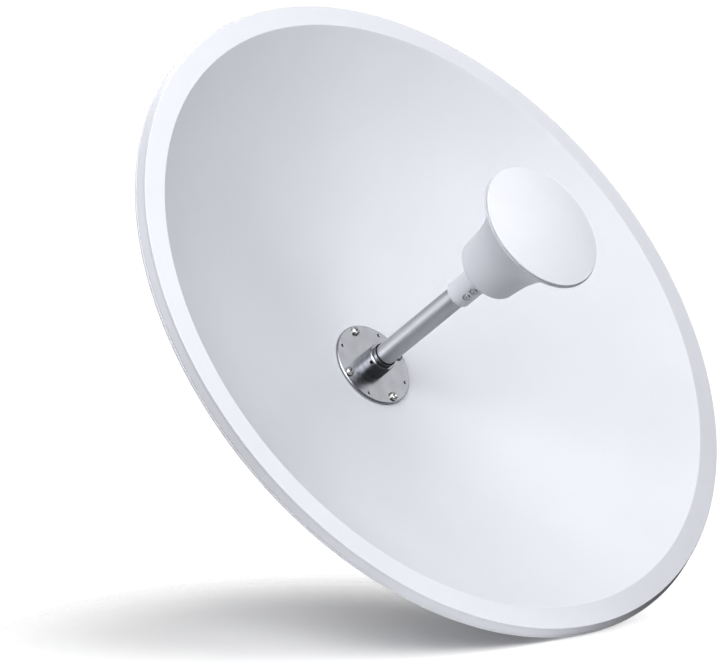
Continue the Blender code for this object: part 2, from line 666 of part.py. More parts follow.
def add_u_bolts():
    """Two U-bolts that hold the pole against the bracket, each with two nuts."""
    bend = U_BOLT_HALF_WIDTH
    for height, word in ((-U_BOLT_HEIGHT, "lower"), (U_BOLT_HEIGHT, "upper")):
        path = [(-bend, U_BOLT_END)]
        path += arc((0.0, U_BOLT_STRAIGHT), bend, math.pi, 0.0, 12)
        path.append((bend, U_BOLT_END))
        curve = bpy.data.curves.new(f"u_bolt_{word}", "CURVE")
        curve.dimensions = "3D"
        curve.bevel_depth = BOLT_RADIUS
        curve.bevel_resolution = 2
        curve.use_fill_caps = True
        spline = curve.splines.new("POLY")
        spline.points.add(len(path) - 1)
        for point, (x, y) in zip(spline.points, path):
            point.co = (x, y, 0.0, 1.0)
        spline.use_smooth = True
        bolt = bpy.data.objects.new(f"u_bolt_{word}", curve)
        bpy.context.collection.objects.link(bolt)
        curve.materials.append(bright_steel())
        bolt.location = (0.0, 0.0, height)
        for side, turn in ((-1.0, "left"), (1.0, "right")):
            nut = flange_nut(f"u_bolt_nut_{word}_{turn}", bright_steel(), None)
            nut.location = (side * bend, -STEEL - GAP, height)
            nut.rotation_euler = (math.radians(90.0), 0.0, 0.0)


clear_scene()
dish_frame = boresight_empty()
add_reflector(dish_frame)
flange_face = add_flange(dish_frame)
add_flange_screws(dish_frame, flange_face)
add_collar(dish_frame, flange_face)
add_tube(dish_frame)
add_neck_sleeve(dish_frame)
add_bell(dish_frame)
add_cap(dish_frame)
add_hub(dish_frame)
add_housing(dish_frame)
add_tilt_bracket(dish_frame)
cheek_face = add_pole_bracket()
add_pivot_hardware(cheek_face)
add_u_bolts()
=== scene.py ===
"""Looks of the wireless bridge dish antenna, piece by piece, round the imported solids."""

import math

import bmesh
import bpy
from mathutils import Matrix, Vector


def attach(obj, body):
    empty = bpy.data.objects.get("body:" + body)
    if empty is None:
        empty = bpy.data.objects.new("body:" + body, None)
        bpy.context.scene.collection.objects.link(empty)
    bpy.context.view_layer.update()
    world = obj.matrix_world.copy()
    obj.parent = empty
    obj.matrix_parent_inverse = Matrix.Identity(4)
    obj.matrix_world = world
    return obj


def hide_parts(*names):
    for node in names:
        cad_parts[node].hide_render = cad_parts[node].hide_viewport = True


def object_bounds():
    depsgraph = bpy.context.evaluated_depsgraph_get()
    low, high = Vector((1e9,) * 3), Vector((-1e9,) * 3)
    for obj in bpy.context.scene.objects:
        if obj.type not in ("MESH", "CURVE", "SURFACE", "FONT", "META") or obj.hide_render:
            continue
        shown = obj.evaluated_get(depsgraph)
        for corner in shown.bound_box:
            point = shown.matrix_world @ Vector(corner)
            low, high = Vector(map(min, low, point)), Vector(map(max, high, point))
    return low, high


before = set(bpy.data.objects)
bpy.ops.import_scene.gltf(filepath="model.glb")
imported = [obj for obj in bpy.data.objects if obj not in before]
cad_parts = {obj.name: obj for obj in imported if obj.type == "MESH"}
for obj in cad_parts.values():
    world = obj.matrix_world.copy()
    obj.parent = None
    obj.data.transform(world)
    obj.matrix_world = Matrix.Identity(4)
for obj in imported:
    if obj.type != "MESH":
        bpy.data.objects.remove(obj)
cad_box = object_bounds()

# The camera: a long lens at the height of the feed, in front of the dish and well to its left,
# as the perspective of the rim, the lip and the feed flange gives it.
view_azimuth = math.radians(-46.39)
view_elevation = math.radians(7.97)
view_distance = 4.5324
view_aim = Vector((-0.051316, -0.176764, 0.055343))
view_back = Vector((
    math.sin(view_azimuth) * math.cos(view_elevation),
    -math.cos(view_azimuth) * math.cos(view_elevation),
    math.sin(view_elevation),
))
camera = bpy.data.objects.new("camera", bpy.data.cameras.new("camera"))
bpy.context.scene.collection.objects.link(camera)
camera.location = view_aim + view_back * view_distance
camera.rotation_mode = "QUATERNION"
camera.rotation_quaternion = (-view_back).to_track_quat("-Z", "Y")
camera.data.lens = 248.96
camera.data.sensor_width = 36.0
camera.data.clip_end = 60.0
bpy.context.scene.camera = camera
# The photo was printed with more contrast than the eye sees, so the tone curve is steeper here too.
bpy.context.scene.view_settings.view_transform = "Standard"
bpy.context.scene.view_settings.gamma = 0.667


# The reflector: one sheet of aluminium, 1.5 mm thick, spun over a former into a parabolic bowl with
# a flat seat for the feed, a narrow lip and a skirt turned back with a rolled hem, then powder
# coated white all over.
MM = 0.001
crease = math.radians(32.0)
elevation = math.radians(35.1)
seat_centre = Vector((0.0, -141.364, 17.034)) * MM
dish_frame = Matrix.Translation(seat_centre) @ Matrix.Rotation(math.radians(90.0) - elevation, 4, "X")


def linear(code):
    """An sRGB hex colour as linear red, green, blue and alpha."""
    levels = [int(code[k:k + 2], 16) / 255.0 for k in (1, 3, 5)]
    return [v / 12.92 if v <= 0.04045 else ((v + 0.055) / 1.055) ** 2.4 for v in levels] + [1.0]


def material(name):
    """An empty node material."""
    made = bpy.data.materials.new(name)
    made.use_nodes = True
    made.node_tree.nodes.clear()
    return made, made.node_tree


def add(tree, kind, inputs, **settings):
    """Adds a node. An input that is given a socket is linked, and any other value is set."""
    made = tree.nodes.new("ShaderNode" + kind)
    for key, value in settings.items():
        setattr(made, key, value)
    for key, value in inputs.items():
        if isinstance(value, bpy.types.NodeSocket):
            tree.links.new(value, made.inputs[key])
        else:
            made.inputs[key].default_value = value
    return made


def rounded(corners, steps=5):
    """A flat outline from (x, y, fillet) corners in mm, each fillet drawn as an arc. Gives metres."""
    points = []
    for index, (x, y, fillet) in enumerate(corners):
        here = Vector((x, y))
        if fillet == 0.0:
            points.append(here * MM)
            continue
        back = (Vector(corners[index - 1][:2]) - here).normalized()
        ahead = (Vector(corners[(index + 1) % len(corners)][:2]) - here).normalized()
        half = back.angle(ahead) / 2.0
        centre = here + (back + ahead).normalized() * fillet / math.sin(half)
        first = here + back * fillet / math.tan(half) - centre
        turn = first.angle_signed(here + ahead * fillet / math.tan(half) - centre)
        for step in range(steps + 1):
            points.append((centre + Matrix.Rotation(-turn * step / steps, 2) @ first) * MM)
    return points


def skinned(name, rings, looped=False):
    """A smooth closed mesh through rings of points. A ring may be one point, and open ends are capped."""
    data = bmesh.new()
    rows = [[data.verts.new(point) for point in ring] for ring in rings]
    pairs = list(zip(rows, rows[1:]))
    if looped:
        pairs.append((rows[-1], rows[0]))
    for low, high in pairs:
        for step in range(max(len(low), len(high))):
            after = step + 1
            corners = (low[step % len(low)], low[after % len(low)])
            corners += (high[after % len(high)], high[step % len(high)])
            data.faces.new(tuple(dict.fromkeys(corners)))
    if not looped:
        for row in (rows[0], rows[-1]):
            if len(row) > 1:
                data.faces.new(row)
    bmesh.ops.recalc_face_normals(data, faces=data.faces)
    mesh = bpy.data.meshes.new(name)
    data.to_mesh(mesh)
    data.free()
    mesh.shade_smooth()
    mesh.set_sharp_from_angle(angle=crease)
    made = bpy.data.objects.new(name, mesh)
    bpy.context.scene.collection.objects.link(made)
    return made


def turned(name, outline, segments, looped=True):
    """Turns an outline of (radius, height) points in metres about Z."""
    rings = []
    for radius, height in outline:
        if radius == 0.0:
            rings.append([(0.0, 0.0, height)])
            continue
        angles = [2.0 * math.pi * k / segments for k in range(segments)]
        rings.append([(radius * math.cos(a), radius * math.sin(a), height) for a in angles])
    return skinned(name, rings, looped)


def fit(piece, place, look, slot, *nodes):
    """Puts a finished piece in its place with its material, in the stead of its solids."""
    piece.matrix_world = place
    piece.data.materials.clear()
    piece.data.materials.append(look)
    weighted = piece.modifiers.new("weighted_normals", "WEIGHTED_NORMAL")
    weighted.keep_sharp = True
    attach(piece, "root")
    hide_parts(*nodes)


# Polyester powder coat: a smooth matte white skin with the faint orange peel of cured powder, a
# little cooler than pure white. The peel is 2 to 3 mm across and some hundredths deep.
powder_coat, tree = material("polyester_powder_coat_white")
place = add(tree, "TexCoord", {}).outputs["Object"]
drift = add(tree, "TexNoise", {"Vector": place, "Scale": 1.0 / (90.0 * MM), "Detail": 3.0})
tint = add(tree, "ValToRGB", {"Fac": drift.outputs["Fac"]})
tint.color_ramp.elements[0].position = 0.3
tint.color_ramp.elements[0].color = linear("#DDDEE3")
tint.color_ramp.elements[1].position = 0.7
tint.color_ramp.elements[1].color = linear("#DFE0E5")
peel = add(tree, "TexNoise", {"Vector": place, "Scale": 1.0 / (2.6 * MM), "Detail": 2.0})
gloss = add(tree, "MapRange", {"Value": peel.outputs["Fac"], "To Min": 0.40, "To Max": 0.52})
relief = add(tree, "Bump", {"Height": peel.outputs["Fac"], "Strength": 0.10, "Distance": 0.06 * MM})
shader = add(tree, "BsdfPrincipled", {
    "Base Color": tint.outputs["Color"], "Roughness": gloss.outputs["Result"], "IOR": 1.5,
    "Normal": relief.outputs["Normal"],
})
add(tree, "OutputMaterial", {"Surface": shader.outputs["BSDF"]})

sheet = 1.5
bore_for_feed = 10.6
flat_radius = 43.0
seat_radius = 45.5
focal_length = 214.5
bowl_radius = 303.4
bowl_steps = 60
bowl = []
for step in range(bowl_steps + 1):
    radius = seat_radius + (bowl_radius - sheet - seat_radius) * step / bowl_steps
    bowl.append((radius, (radius**2 - seat_radius**2) / (4.0 * focal_length)))
front = [Vector((radius, 0.0)) * MM for radius in (bore_for_feed, 28.0, flat_radius)]
front += [Vector(point) * MM for point in bowl]
bowl_end = (bowl_radius**2 - seat_radius**2) / (4.0 * focal_length)
front += rounded([
    (*bowl[-1], 0.0), (bowl_radius, bowl_end, 1.8), (324.0, 104.2, 0.7), (324.4, 102.0, 0.6),
    (326.7, 95.8, 0.3), (326.3, 95.3, 0.2), (326.4, 95.0, 0.0),
])[1:]
hem_radius = 1.1
hem_centre = Vector((326.25, 93.8))
hem_turns = [math.radians(80.0 - 200.0 * k / 16) for k in range(17)]
front += [(hem_centre + Vector((math.cos(a), math.sin(a))) * hem_radius) * MM for a in hem_turns]
back = rounded([
    (323.6, 92.8, 0.3), (323.6, 94.0, 0.3), (325.2, 94.6, 0.5), (322.6, 102.7, 0.8), (304.3, 103.3, 2.5),
    (302.4, bowl_end - 2.4, 0.0),
])
for radius, height in reversed(bowl[:-1]):
    slope = radius / (2.0 * focal_length)
    run = sheet / math.sqrt(1.0 + slope**2)
    back.append(Vector((radius + slope * run, height - run)) * MM)
back += [Vector((radius, -sheet)) * MM for radius in (flat_radius, bore_for_feed)]
reflector = turned("reflector", front + back, 288)


def drilled(piece, cutters, operation="DIFFERENCE"):
    """Cuts finished tools out of a piece and throws the tools away."""
    for cutter in cutters:
        change = piece.modifiers.new("cut", "BOOLEAN")
        change.object = cutter
        change.operation = operation
        change.solver = "EXACT"
    shape = bpy.context.evaluated_depsgraph_get()
    cut = bpy.data.meshes.new_from_object(piece.evaluated_get(shape))
    piece.modifiers.clear()
    piece.data = cut
    cut.shade_smooth()
    cut.set_sharp_from_angle(angle=crease)
    for cutter in cutters:
        bpy.data.objects.remove(cutter)


def drill(radius, low, high, x, y):
    """A round cutter along Z between two heights, its axis at x and y, all in mm."""
    outline = [(0.0, low * MM), (radius * MM, low * MM), (radius * MM, high * MM), (0.0, high * MM)]
    cutter = turned("drill", outline, 64, looped=False)
    cutter.matrix_world = Matrix.Translation(Vector((x, y, 0.0)) * MM)
    return cutter


screw_circle = 35.3
screw_turns = [math.radians(6.5 + 90.0 * quarter) for quarter in range(4)]
screw_spots = [(screw_circle * math.cos(a), screw_circle * math.sin(a)) for a in screw_turns]
screw_clearance = 2.6
cutters = [drill(screw_clearance, -4.0, 2.0, x, y) for x, y in screw_spots]
bpy.context.view_layer.update()
drilled(reflector, cutters)
# The tilt goes into the mesh itself, which keeps the box of this widest piece as tight as it is.
reflector.data.transform(dish_frame)
fit(reflector, Matrix.Identity(4), powder_coat, "powder_coat", "reflector_dish")


# The feed flange: a round plate of stainless steel, turned on a lathe with a narrow bevel, drilled
# for four screws and, between them, four small holes. It lies on the bowl's flat seat.

# Turned stainless steel: satin grey with very fine circles left by the tool. The circles are 0.2 mm
# apart in fact and drawn 0.7 mm apart, so that they just show.
turned_steel, tree = material("turned_stainless_steel")
place = add(tree, "TexCoord", {}).outputs["Object"]
flat = add(tree, "VectorMath", {0: place, 1: (1.0, 1.0, 0.0)}, operation="MULTIPLY")
reach = add(tree, "VectorMath", {0: flat.outputs["Vector"]}, operation="LENGTH")
circles = add(tree, "TexNoise", {"W": reach.outputs["Value"], "Scale": 1.0 / (0.7 * MM), "Detail": 3.0},
              noise_dimensions="1D")
cloud = add(tree, "TexNoise", {"Vector": place, "Scale": 1.0 / (14.0 * MM), "Detail": 4.0})
tint = add(tree, "ValToRGB", {"Fac": cloud.outputs["Fac"]})
tint.color_ramp.elements[0].position = 0.3
tint.color_ramp.elements[0].color = linear("#B4B5B9")
tint.color_ramp.elements[1].position = 0.7
tint.color_ramp.elements[1].color = linear("#BDBEC2")
gloss = add(tree, "MapRange", {"Value": circles.outputs["Fac"], "To Min": 0.19, "To Max": 0.31})
relief = add(tree, "Bump", {"Height": circles.outputs["Fac"], "Strength": 0.05, "Distance": 0.05 * MM})
shader = add(tree, "BsdfPrincipled", {
    "Base Color": tint.outputs["Color"], "Metallic": 1.0, "Roughness": gloss.outputs["Result"],
    "Normal": relief.outputs["Normal"],
})
add(tree, "OutputMaterial", {"Surface": shader.outputs["BSDF"]})

tube_seat = 10.62
flange_back = 0.3
flange_front = 2.7
flange_radius = 41.2
bevel = 0.8
flange = turned("flange", rounded([
    (tube_seat, flange_back, 0.0), (flange_radius, flange_back, 0.2), (flange_radius, 1.9, 0.2),
    (flange_radius - bevel, flange_front, 0.2), (tube_seat, flange_front, 0.0),
]), 160)
hole_circle = 36.0
holes = []
for quarter in range(4):
    angle = math.radians(50.2 + 90.0 * quarter)
    hole = turned("small_hole", rounded([
        (0.0, -1.0, 0.0), (1.15, -1.0, 0.0), (1.15, 2.3, 0.0), (1.65, 2.8, 0.0), (1.65, 4.0, 0.0),
        (0.0, 4.0, 0.0),
    ]), 32, looped=False)
    hole.matrix_world = Matrix.Translation(
        Vector((hole_circle * math.cos(angle), hole_circle * math.sin(angle), 0.0)) * MM)
    holes.append(hole)
holes += [drill(2.55, -1.0, 4.0, x, y) for x, y in screw_spots]
bpy.context.view_layer.update()
drilled(flange, holes)
fit(flange, dish_frame, turned_steel, "brushed_metal", "feed_flange")


# Flange screws: four M5 pan-head screws of bright plated steel, cold formed with a cross recess and
# driven through the flange and the dish into the hub.
def pan_head(name, radius, high, shank, long):
    """A pan-head screw along Z with its bearing face at height 0 and a cross recess."""
    screw = turned(name, rounded([
        (0.0, -long, 0.0), (shank, -long, 0.2), (shank, 0.0, 0.0), (radius, 0.0, 0.15),
        (radius, high * 0.86, radius * 0.42), (radius * 0.45, high, radius * 0.3), (0.0, high, 0.0),
    ]), 48, looped=False)
    rings = []
    for level, reach, half in ((high + 0.4, 0.60, 0.14), (high - 0.62 * high, 0.20, 0.07)):
        reach, half = reach * radius, half * radius
        arm = [(reach, -half), (reach, half), (half, half)]
        ring = []
        for quarter in range(4):
            turn = Matrix.Rotation(math.radians(90.0 * quarter), 2)
            ring += [turn @ Vector(point) for point in arm]
        rings.append([(point.x * MM, point.y * MM, level * MM) for point in ring])
    drilled(screw, [skinned("cross_recess", rings)])
    return screw


# Bright nickel plate over steel: a mirror with a few fine handling marks, so it shows the dark and
# the light parts of the studio side by side.
bright_plate, tree = material("bright_nickel_plated_steel")
place = add(tree, "TexCoord", {}).outputs["Object"]
marks = add(tree, "TexNoise", {"Vector": place, "Scale": 1.0 / (1.5 * MM), "Detail": 5.0, "Roughness": 0.7})
tint = add(tree, "ValToRGB", {"Fac": marks.outputs["Fac"]})
tint.color_ramp.elements[0].color = linear("#C9C8C6")
tint.color_ramp.elements[1].color = linear("#DADADC")
gloss = add(tree, "MapRange", {"Value": marks.outputs["Fac"], "To Min": 0.06, "To Max": 0.20})
relief = add(tree, "Bump", {"Height": marks.outputs["Fac"], "Strength": 0.04, "Distance": 0.05 * MM})
shader = add(tree, "BsdfPrincipled", {
    "Base Color": tint.outputs["Color"], "Metallic": 1.0, "Roughness": gloss.outputs["Result"],
    "Normal": relief.outputs["Normal"],
})
add(tree, "OutputMaterial", {"Surface": shader.outputs["BSDF"]})

for index, recess_turn in enumerate((20.0, 51.0, 82.0, 113.0)):
    screw = pan_head(f"flange_pan_screw_{index + 1}", 4.2, 2.85, 2.5, 9.5)
    spot = Vector((*screw_spots[(index + 1) % 4], flange_front)) * MM
    spin = Matrix.Rotation(math.radians(recess_turn), 4, "Z")
    place = dish_frame @ Matrix.Translation(spot) @ spin
    fit(screw, place, bright_plate, "bright_steel", f"flange_screw_{index + 1}")


# The collar: a turned steel ring that clamps the tube, with a bevelled front edge, a thin nose in
# front of it and two tapped holes for set screws.
collar_radius = 13.8
nose_radius = 11.3
collar = turned("collar", rounded([
    (tube_seat, 2.72, 0.0), (collar_radius, 2.72, 0.15), (collar_radius, 15.9, 0.15), (13.0, 16.7, 0.15),
    (11.7, 16.7, 0.12), (11.7, 16.2, 0.0), (nose_radius, 16.2, 0.0), (nose_radius, 20.3, 0.3),
    (tube_seat, 20.3, 0.0),
]), 128)
set_screw_turns = (189.5, 95.0)
set_screw_height = 13.0
seats = []
for turn in set_screw_turns:
    aim = Matrix.Rotation(math.radians(turn), 4, "Z") @ Matrix.Rotation(math.radians(90.0), 4, "Y")
    seats.append(Matrix.Translation((0.0, 0.0, set_screw_height * MM)) @ aim)
tapped = []
for seat in seats:
    hole = turned("set_screw_hole", rounded([
        (0.0, 12.0, 0.0), (1.6, 12.0, 0.0), (1.6, 13.4, 0.0), (1.9, 14.0, 0.0), (0.0, 14.0, 0.0),
    ]), 32, looped=False)
    hole.matrix_world = seat
    tapped.append(hole)
bpy.context.view_layer.update()
drilled(collar, tapped)
fit(collar, dish_frame, turned_steel, "brushed_metal", "feed_collar")

# Set screws: cup-point screws of blackened steel with a hexagon socket, sunk just under the
# collar's skin. The oxide makes them nearly black beside the bright collar.
black_oxide, tree = material("black_oxide_steel")
place = add(tree, "TexCoord", {}).outputs["Object"]
grain = add(tree, "TexNoise", {"Vector": place, "Scale": 1.0 / (0.4 * MM), "Detail": 3.0})
gloss = add(tree, "MapRange", {"Value": grain.outputs["Fac"], "To Min": 0.35, "To Max": 0.55})
relief = add(tree, "Bump", {"Height": grain.outputs["Fac"], "Strength": 0.1, "Distance": 0.02 * MM})
shader = add(tree, "BsdfPrincipled", {
    "Base Color": linear("#2E2E30"), "Metallic": 1.0, "Roughness": gloss.outputs["Result"],
    "Normal": relief.outputs["Normal"],
})
add(tree, "OutputMaterial", {"Surface": shader.outputs["BSDF"]})


def socket_cutter(low, high):
    """A hexagon socket for a 1.5 mm key, between two heights in mm."""
    corner = 0.87 * MM
    turns = [math.radians(60.0 * k) for k in range(6)]
    return skinned("hexagon_socket", [
        [(corner * math.cos(a), corner * math.sin(a), level * MM) for a in turns] for level in (low, high)])


for index, seat in enumerate(seats):
    outline = rounded([(0.0, 12.3, 0.0), (1.55, 12.3, 0.1), (1.55, 13.45, 0.25), (0.0, 13.45, 0.0)])
    grub = turned(f"set_screw_{index + 1}", outline, 40, looped=False)
    drilled(grub, [socket_cutter(12.6, 14.0)])
    fit(grub, dish_frame @ seat, black_oxide, "bright_steel", f"collar_set_screw_{index + 1}")

# The sealing ring: a moulded nitrile rubber ring between the collar's nose and the tube. Black and
# matte, so it draws a dark line round the tube.
nitrile, tree = material("nitrile_rubber_black")
place = add(tree, "TexCoord", {}).outputs["Object"]
bloom = add(tree, "TexNoise", {"Vector": place, "Scale": 1.0 / (2.0 * MM), "Detail": 4.0})
tint = add(tree, "ValToRGB", {"Fac": bloom.outputs["Fac"]})
tint.color_ramp.elements[0].color = linear("#161617")
tint.color_ramp.elements[1].color = linear("#2A2A2B")
relief = add(tree, "Bump", {"Height": bloom.outputs["Fac"], "Strength": 0.1, "Distance": 0.03 * MM})
shader = add(tree, "BsdfPrincipled", {
    "Base Color": tint.outputs["Color"], "Roughness": 0.6, "IOR": 1.52, "Normal": relief.outputs["Normal"],
})
add(tree, "OutputMaterial", {"Surface": shader.outputs["BSDF"]})

wire = 0.55
ring_centre = Vector((10.86, 20.85))
ring_outline = []
for step in range(16):
    angle = 2.0 * math.pi * step / 16
    ring_outline.append((ring_centre + Vector((math.cos(angle), math.sin(angle))) * wire) * MM)
seal = turned("sealing_ring", ring_outline, 96)
fit(seal, dish_frame, nitrile, "rubber", "collar_o_ring")


# The feed tube: a stainless steel tube, ground and polished round and round, that carries the feed
# head and hides the coaxial line to it. The fine lines round it draw each lamp out into a streak
# along it.
polished_tube, tree = material("polished_stainless_tube")
place = add(tree, "TexCoord", {}).outputs["Object"]
streak = add(tree, "Mapping", {"Vector": place, "Scale": (0.02, 0.02, 1.0)})
lines = add(tree, "TexNoise", {
    "Vector": streak.outputs["Vector"], "Scale": 1.0 / (0.6 * MM), "Detail": 4.0,
})
cloud = add(tree, "TexNoise", {"Vector": place, "Scale": 1.0 / (9.0 * MM), "Detail": 3.0})
tint = add(tree, "ValToRGB", {"Fac": cloud.outputs["Fac"]})
tint.color_ramp.elements[0].color = linear("#D4D5D9")
tint.color_ramp.elements[1].color = linear("#DCDDE0")
gloss = add(tree, "MapRange", {"Value": lines.outputs["Fac"], "To Min": 0.40, "To Max": 0.48})
relief = add(tree, "Bump", {"Height": lines.outputs["Fac"], "Strength": 0.02, "Distance": 0.05 * MM})
round_lines = add(tree, "Tangent", {}, direction_type="RADIAL", axis="Z")
shader = add(tree, "BsdfPrincipled", {
    "Base Color": tint.outputs["Color"], "Metallic": 1.0, "Roughness": gloss.outputs["Result"],
    "Anisotropic": 0.95, "Anisotropic Rotation": 0.25, "Tangent": round_lines.outputs["Tangent"],
    "Normal": relief.outputs["Normal"],
})
add(tree, "OutputMaterial", {"Surface": shader.outputs["BSDF"]})

tube_radius = 10.3
tube_back = -13.0
tube_front = 150.0
tube = turned("tube", rounded([
    (0.0, tube_back, 0.0), (tube_radius, tube_back, 0.5), (tube_radius, tube_front, 0.5),
    (0.0, tube_front, 0.0),
]), 128, looped=False)
fit(tube, dish_frame, polished_tube, "brushed_metal", "feed_tube")


# The neck sleeve: moulded in one colour with the feed head, pushed over the tube's end and held by
# four screws in round counterbores, two on each side.
weather_plastic, tree = material("asa_plastic_white")
place = add(tree, "TexCoord", {}).outputs["Object"]
drift = add(tree, "TexNoise", {"Vector": place, "Scale": 1.0 / (35.0 * MM), "Detail": 3.0})
tint = add(tree, "ValToRGB", {"Fac": drift.outputs["Fac"]})
tint.color_ramp.elements[0].position = 0.3
tint.color_ramp.elements[0].color = linear("#DDDEE3")
tint.color_ramp.elements[1].position = 0.7
tint.color_ramp.elements[1].color = linear("#DFE0E5")
grain = add(tree, "TexNoise", {"Vector": place, "Scale": 1.0 / (0.8 * MM), "Detail": 2.0})
gloss = add(tree, "MapRange", {"Value": grain.outputs["Fac"], "To Min": 0.32, "To Max": 0.44})
relief = add(tree, "Bump", {"Height": grain.outputs["Fac"], "Strength": 0.06, "Distance": 0.04 * MM})
shader = add(tree, "BsdfPrincipled", {
    "Base Color": tint.outputs["Color"], "Roughness": gloss.outputs["Result"], "IOR": 1.5,
    "Normal": relief.outputs["Normal"],
})
add(tree, "OutputMaterial", {"Surface": shader.outputs["BSDF"]})

sleeve_radius = 12.9
sleeve_bore = 10.32
sleeve_back = 130.9
sleeve_front = 172.8
pocket_floor = 11.6
pocket_radius = 4.0
neck_screw_turn = 233.0
sleeve = turned("sleeve", rounded([
    (sleeve_bore, sleeve_back, 0.0), (sleeve_radius, sleeve_back, 1.0), (sleeve_radius, sleeve_front, 0.0),
    (sleeve_bore, sleeve_front, 0.0),
]), 160)
neck_seats = []
for side in (0.0, 180.0):
    turn = Matrix.Rotation(math.radians(neck_screw_turn + side), 4, "Z")
    for height in (145.3, 155.6):
        aim = turn @ Matrix.Rotation(math.radians(90.0), 4, "Y")
        neck_seats.append(Matrix.Translation((0.0, 0.0, height * MM)) @ aim)
pockets = []
for seat in neck_seats:
    pocket = turned("pocket", rounded([
        (0.0, pocket_floor, 0.0), (pocket_radius, pocket_floor, 0.3), (pocket_radius, 15.0, 0.0),
        (0.0, 15.0, 0.0),
    ]), 48, looped=False)
    pocket.matrix_world = seat
    pockets.append(pocket)
bpy.context.view_layer.update()
drilled(sleeve, pockets)
fit(sleeve, dish_frame, weather_plastic, "white_plastic", "feed_neck_sleeve")

for index, seat in enumerate(neck_seats):
    screw = pan_head(f"neck_pan_screw_{index + 1}", 2.9, 1.55, 1.0, 0.9)
    spin = Matrix.Rotation(math.radians(45.0 + 12.0 * index), 4, "Z")
    place = dish_frame @ seat @ Matrix.Translation((0.0, 0.0, pocket_floor * MM)) @ spin
    fit(screw, place, bright_plate, "bright_steel", f"neck_screw_{index + 1}")


# The bell: the flared housing of the feed, moulded in white plastic with a rounded shoulder at the
# neck and a thin rim at its mouth.
shoulder_radius = 30.8
shoulder_edge = 5.3
shoulder_height = 178.4
mouth_height = 250.0
mouth_radius = 60.4
rim_radius = 62.0
rim_front = 252.5
bell_taper = 6.0
bell_curve = 3.03
bell_steps = 48
outline = [Vector((radius, shoulder_height - shoulder_edge)) * MM for radius in (0.0, 12.0)]
for step in range(9):
    angle = math.radians(-90.0 + 90.0 * step / 8)
    centre = Vector((shoulder_radius - shoulder_edge, shoulder_height))
    outline.append((centre + Vector((math.cos(angle), math.sin(angle))) * shoulder_edge) * MM)
for step in range(1, bell_steps + 1):
    share = step / bell_steps
    flare = mouth_radius - shoulder_radius - bell_taper
    radius = shoulder_radius + bell_taper * share + flare * share**bell_curve
    outline.append(Vector((radius, shoulder_height + (mouth_height - shoulder_height) * share)) * MM)
outline += rounded([
    (mouth_radius, mouth_height, 0.0), (rim_radius, 251.0, 0.25), (rim_radius, rim_front, 0.3),
    (58.0, rim_front, 0.0), (0.0, rim_front, 0.0),
])[1:]
bell = turned("bell", outline, 192, looped=False)
fit(bell, dish_frame, weather_plastic, "white_plastic", "feed_bell")


# The cap: a shallow moulded dome with a rounded edge, bonded to the bell's rim as its cover.
cap_face = 60.3
cap_rise = 4.5
cap_back = 252.55
cap_edge = 254.7
cap_radius = 61.4
dome_radius = 59.0
dome_steps = 32
outline = rounded([
    (0.0, cap_back, 0.0), (58.0, cap_back, 0.0), (60.9, cap_back, 0.0), (cap_radius, 252.9, 0.15),
    (cap_radius, cap_edge, 1.2), (dome_radius, 254.86, 0.0),
], steps=8)
for step in range(1, dome_steps + 1):
    across = dome_radius * (1.0 - step / dome_steps)
    outline.append(Vector((across, cap_edge + cap_rise * (1.0 - (across / cap_face) ** 2))) * MM)
cap = turned("cap", outline, 192, looped=False)
fit(cap, dish_frame, weather_plastic, "white_plastic", "feed_cap")


# The hub: a round aluminium casting behind the bowl, powder coated like it. It takes the screws of
# the feed flange and the bolts of the tilt bracket, and shallow pockets between its ribs save weight.
coated_casting, tree = material("powder_coated_cast_aluminium")
place = add(tree, "TexCoord", {}).outputs["Object"]
drift = add(tree, "TexNoise", {"Vector": place, "Scale": 1.0 / (30.0 * MM), "Detail": 4.0})
tint = add(tree, "ValToRGB", {"Fac": drift.outputs["Fac"]})
tint.color_ramp.elements[0].color = linear("#D6D7DD")
tint.color_ramp.elements[1].color = linear("#DFE0E6")
skin = add(tree, "TexNoise", {"Vector": place, "Scale": 1.0 / (1.8 * MM), "Detail": 4.0})
gloss = add(tree, "MapRange", {"Value": skin.outputs["Fac"], "To Min": 0.42, "To Max": 0.58})
relief = add(tree, "Bump", {"Height": skin.outputs["Fac"], "Strength": 0.25, "Distance": 0.15 * MM})
shader = add(tree, "BsdfPrincipled", {
    "Base Color": tint.outputs["Color"], "Roughness": gloss.outputs["Result"], "IOR": 1.5,
    "Normal": relief.outputs["Normal"],
})
add(tree, "OutputMaterial", {"Surface": shader.outputs["BSDF"]})

hub_radius = 70.0
hub_face = -1.85
hub_rear = -10.0
outline = [Vector((bore_for_feed, hub_face)) * MM]
for radius in (seat_radius, 52.0, 58.0, 64.0, hub_radius):
    outline.append(Vector((radius, hub_face + (radius**2 - seat_radius**2) / (4.0 * focal_length))) * MM)
outline += rounded([
    (*(outline[-1] / MM), 0.0), (hub_radius, hub_rear, 3.5), (67.0, hub_rear, 0.0), (24.0, hub_rear, 0.0),
    (bore_for_feed, hub_rear, 0.0),
], steps=6)[1:]
hub = turned("hub", outline, 160)
cutters = []
for index in range(12):
    turn = Matrix.Rotation(math.radians(30.0 * index + 15.0), 4, "Z")
    spread = math.radians(10.5)
    corners = []
    for radius, angle, fillet in (
        (51.0, -spread, 2.0), (64.0, -spread, 2.0), (64.6, 0.0, 0.0),
        (64.0, spread, 2.0), (51.0, spread, 2.0), (51.4, 0.0, 0.0),
    ):
        corners.append((radius * math.cos(angle), radius * math.sin(angle), fillet))
    edge = rounded(corners)
    pocket = skinned("pocket", [[(p.x, p.y, level * MM) for p in edge] for level in (-11.0, -7.0)])
    pocket.matrix_world = turn
    cutters.append(pocket)
bolt_spots = [(21.0, 41.0), (-21.0, 41.0), (-21.0, -41.0), (21.0, -41.0)]
cutters += [drill(4.1, -11.0, -5.8, x, y) for x, y in bolt_spots]
